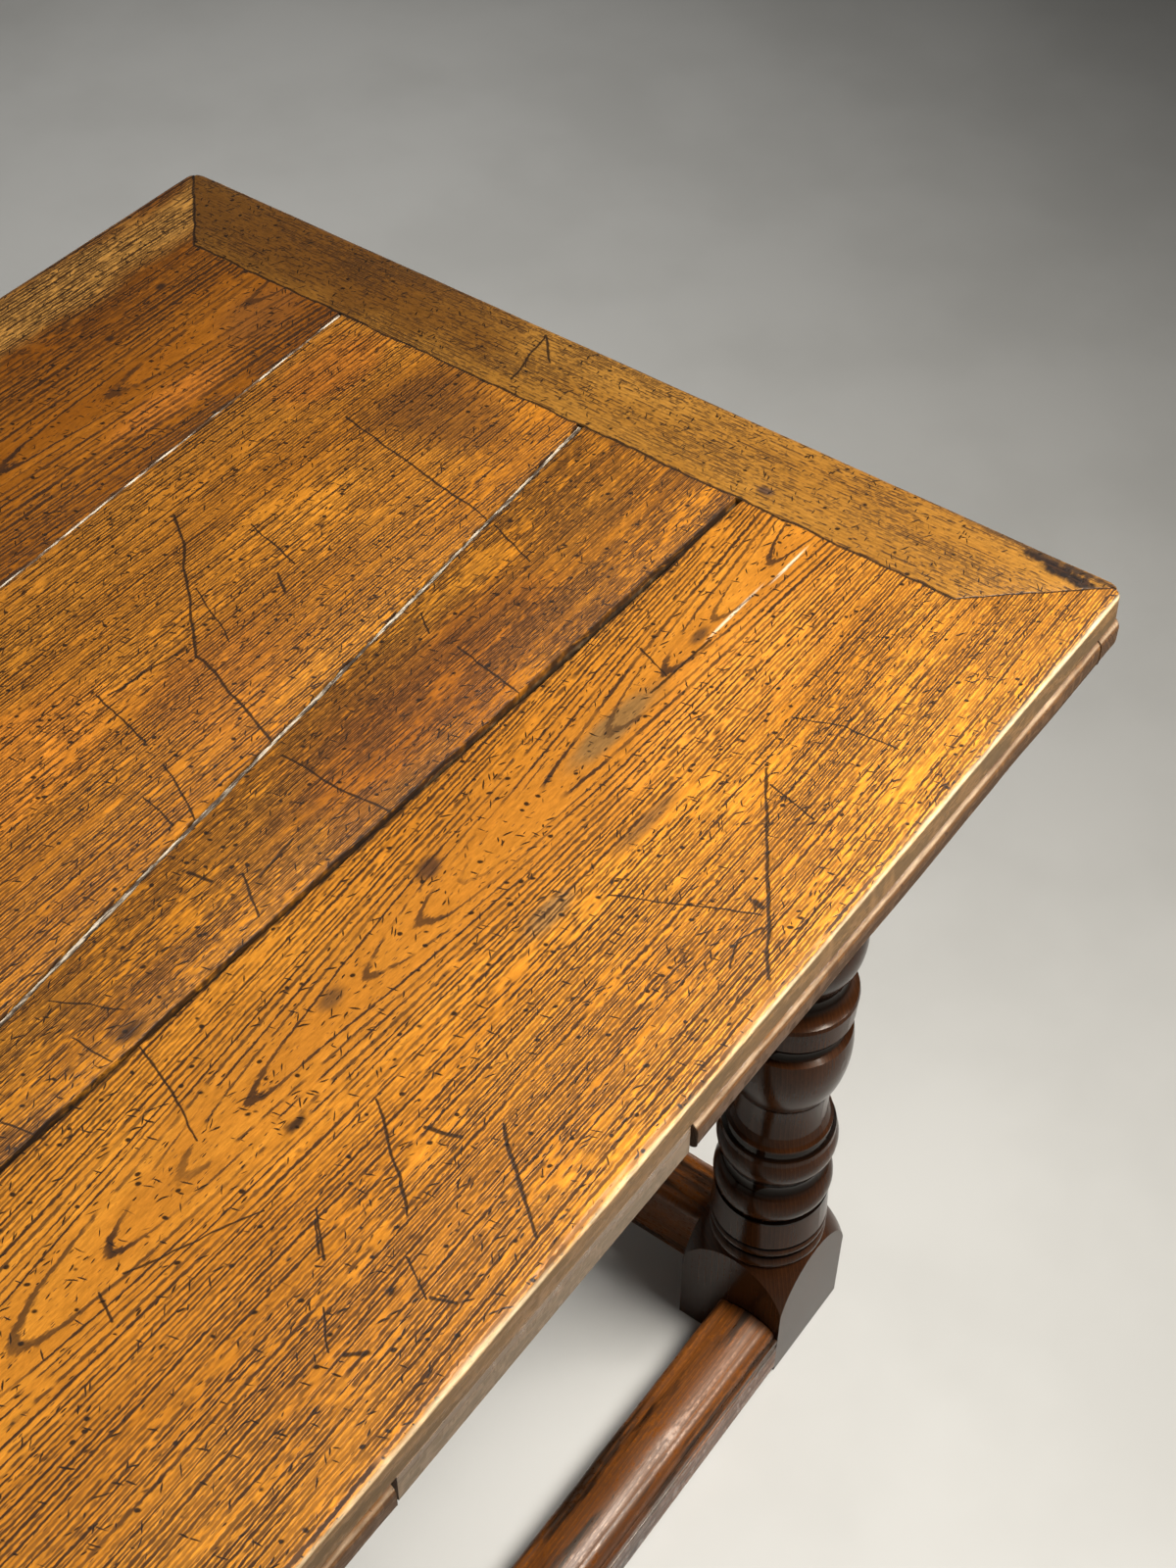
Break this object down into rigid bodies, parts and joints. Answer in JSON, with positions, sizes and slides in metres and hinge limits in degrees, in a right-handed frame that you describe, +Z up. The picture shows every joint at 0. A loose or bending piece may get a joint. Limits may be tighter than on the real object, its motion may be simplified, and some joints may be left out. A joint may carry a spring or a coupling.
{
  "type": "extending table",
  "caption": "Draw-leaf dining table in oak: plank top with mitred end clamps over sliding leaves, on a frame of turned legs, rails and a low box stretcher.",
  "frame": {"origin": "on the floor under the middle of the closed table", "axes": "+X along the length towards the far end of the picture, +Y across towards its left side, +Z up"},
  "size_m": [1.222, 0.806, 0.77],
  "materials": {
    "top_oak": "waxed, worn",
    "leaf_oak": "waxed, worn",
    "centre_oak": "dull wax",
    "loper_oak": "bare",
    "base_oak": "dark polish",
    "peg_oak": "bare",
    "screw_steel": "dull"
  },
  "bodies": {
    "frame": {"centre_board": "centre_oak", "centre_board_pegs": "peg_oak", "end_rail_far": "base_oak", "end_rail_near": "base_oak", "end_stretcher_far": "base_oak", "end_stretcher_near": "base_oak", "leg_far_left": "base_oak", "leg_far_right": "base_oak", "leg_near_left": "base_oak", "leg_near_right": "base_oak", "medial_rail_far": "base_oak", "medial_rail_near": "base_oak", "rail_pegs": "peg_oak", "side_rail_left": "base_oak", "side_rail_right": "base_oak", "side_stretcher_left": "base_oak", "side_stretcher_right": "base_oak", "stretcher_pegs": "peg_oak"},
    "leaf_far": {"leaf_far_inner_clamp": "leaf_oak", "leaf_far_loper_left": "loper_oak", "leaf_far_loper_right": "loper_oak", "leaf_far_loper_screws": "screw_steel", "leaf_far_outer_clamp": "leaf_oak", "leaf_far_plank_left": "leaf_oak", "leaf_far_plank_middle": "leaf_oak", "leaf_far_plank_right": "leaf_oak", "leaf_far_stop_pegs": "peg_oak"},
    "leaf_near": {"leaf_near_inner_clamp": "leaf_oak", "leaf_near_loper_left": "loper_oak", "leaf_near_loper_right": "loper_oak", "leaf_near_loper_screws": "screw_steel", "leaf_near_outer_clamp": "leaf_oak", "leaf_near_plank_left": "leaf_oak", "leaf_near_plank_middle": "leaf_oak", "leaf_near_plank_right": "leaf_oak", "leaf_near_stop_pegs": "peg_oak"},
    "top": {"top_clamp_far": "top_oak", "top_clamp_near": "top_oak", "top_clamp_pegs": "peg_oak", "top_guide_pegs": "peg_oak", "top_plank_left": "top_oak", "top_plank_middle": "top_oak", "top_plank_right": "top_oak", "top_plank_wedge": "top_oak"}
  },
  "joints": [
    {"name": "leaf_far_draw", "type": "slide", "parent": "frame", "child": "leaf_far", "axis": [1, 0, 0], "range_m": [0, 0.488]},
    {"name": "leaf_near_draw", "type": "slide", "parent": "frame", "child": "leaf_near", "axis": [-1, 0, 0], "range_m": [0, 0.488]},
    {"name": "top_lift", "type": "slide", "parent": "frame", "child": "top", "axis": [0, 0, 1], "range_m": [0, 0.03]}
  ]
}
